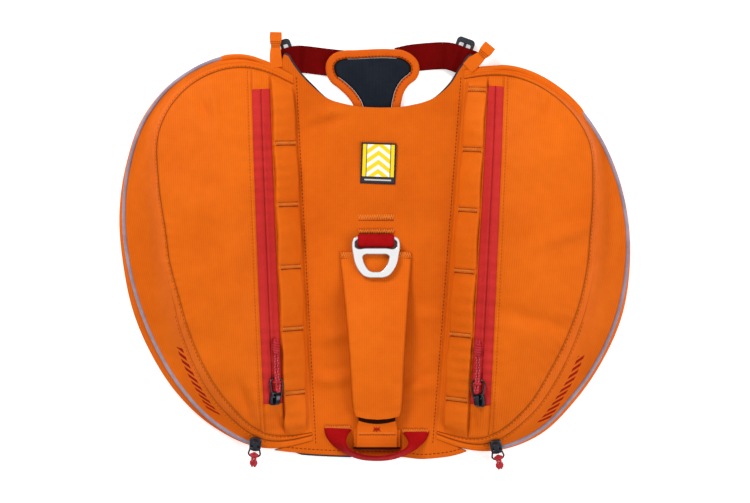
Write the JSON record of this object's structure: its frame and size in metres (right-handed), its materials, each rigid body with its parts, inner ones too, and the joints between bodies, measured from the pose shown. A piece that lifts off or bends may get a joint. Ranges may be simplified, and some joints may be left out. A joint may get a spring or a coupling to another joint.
{
  "type": "dog backpack",
  "caption": "Saddle pack for a small dog, laid flat: two filled zipped saddlebags on a padded back panel with handle, leash ring, chest pad and straps.",
  "frame": {"origin": "bottom centre of the bounding box of the pack laid flat, on the surface it lies on", "axes": "+X across the dog to its right-hand bag in the picture, +Y along the dog's back towards the neck, +Z out of the pack's outer side, up from the surface"},
  "size_m": [0.367, 0.3142, 0.0461],
  "materials": {
    "orange": "satin ripstop weave",
    "red": "woven webbing and tape",
    "dark_red": "woven webbing",
    "slate": "matt mesh and knit",
    "black": "moulded, glossy",
    "silver": "satin",
    "reflective": "retroreflective",
    "yellow": "woven patch"
  },
  "bodies": {
    "pack": {"back_wall_left": "orange", "back_wall_right": "orange", "centre_panel": "orange", "chest_pad": "slate", "chest_pad_binding": "orange", "chest_strap_left": "dark_red", "chest_strap_right": "dark_red", "daisy_chain_left": "orange", "daisy_chain_right": "orange", "face_panel_left": "orange", "face_panel_right": "orange", "girth_buckle": "black", "girth_strap_left": "red", "girth_strap_right": "red", "gusset_left": "orange", "gusset_right": "orange", "handle_anchor": "orange", "handle_sleeve": "orange", "handle_tab": "orange", "inner_strip_left": "orange", "inner_strip_right": "orange", "label_patch": "yellow", "lining": "slate", "lining_shoulder_left": "slate", "lining_shoulder_right": "slate", "main_slider_left": "black", "main_slider_right": "black", "piping_left": "reflective", "piping_right": "reflective", "pocket_slider_left": "black", "pocket_slider_right": "black", "pocket_zip_left": "red", "pocket_zip_right": "red", "rear_loop": "red", "ring_webbing": "red", "shoulder_tab_left": "orange", "shoulder_tab_right": "orange", "sternum_keeper": "dark_red", "strap_slider_left": "black", "strap_slider_right": "black", "zip_flap_left": "orange", "zip_flap_right": "orange", "zip_garage_front_left": "orange", "zip_garage_front_right": "orange", "zip_garage_rear_left": "orange", "zip_garage_rear_right": "orange"},
    "pocket_pull_left": {"pocket_bail_left": "black", "pocket_pull_cord_left": "red"},
    "main_pull_left": {"main_bail_left": "black", "main_pull_cord_left": "red"},
    "pocket_pull_right": {"pocket_bail_right": "black", "pocket_pull_cord_right": "red"},
    "main_pull_right": {"main_bail_right": "black", "main_pull_cord_right": "red"},
    "leash_ring": {"leash_ring": "silver"}
  },
  "joints": [
    {"name": "leash_ring_swing", "type": "hinge", "parent": "pack", "child": "leash_ring", "pos_m": [0.0008, 0.0088, 0.0119], "axis": [-1, 0, 0], "range_deg": [0, 158]},
    {"name": "pocket_pull_left_swing", "type": "hinge", "parent": "pack", "child": "pocket_pull_left", "pos_m": [-0.07014, -0.1042, 0.02705], "axis": [0.9199, 0.0675, -0.3862], "range_deg": [0, 115]},
    {"name": "main_pull_left_swing", "type": "hinge", "parent": "pack", "child": "main_pull_left", "pos_m": [-0.08598, -0.14134, 0.01524], "axis": [-0.9944, 0.1052, 0], "range_deg": [0, 100]},
    {"name": "pocket_pull_right_swing", "type": "hinge", "parent": "pack", "child": "pocket_pull_right", "pos_m": [0.07354, -0.10534, 0.02894], "axis": [0.9267, -0.0527, 0.3721], "range_deg": [0, 115]},
    {"name": "main_pull_right_swing", "type": "hinge", "parent": "pack", "child": "main_pull_right", "pos_m": [0.08746, -0.1432, 0.01524], "axis": [-0.9808, -0.195, 0], "range_deg": [0, 100]}
  ]
}
